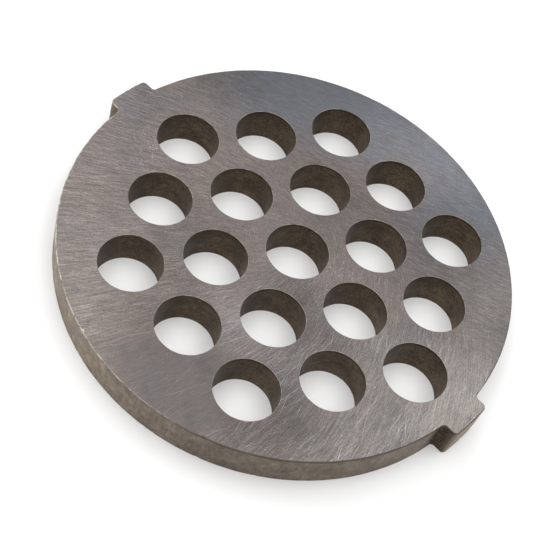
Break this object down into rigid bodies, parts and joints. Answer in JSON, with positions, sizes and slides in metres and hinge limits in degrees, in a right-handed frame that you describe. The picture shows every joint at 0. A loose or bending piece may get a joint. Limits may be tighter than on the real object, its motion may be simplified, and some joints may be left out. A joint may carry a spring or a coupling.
{
  "type": "meat grinder plate",
  "caption": "Flat round steel grinder plate with a hexagonal pattern of through holes around a centre bore and two square keying tabs on its rim.",
  "frame": {"origin": "on the round rim's axis, at the back face that the plate lies on", "axes": "+Z along the bore's axis, out of the ground cutting face; +X out through one of the two tabs"},
  "size_m": [0.0574, 0.054, 0.0048],
  "materials": {
    "ground_steel": "ground flat faces with fine scratches, darker brownish rim and hole walls"
  },
  "bodies": {
    "root": {"grinder_plate": "ground_steel"}
  },
  "joints": []
}
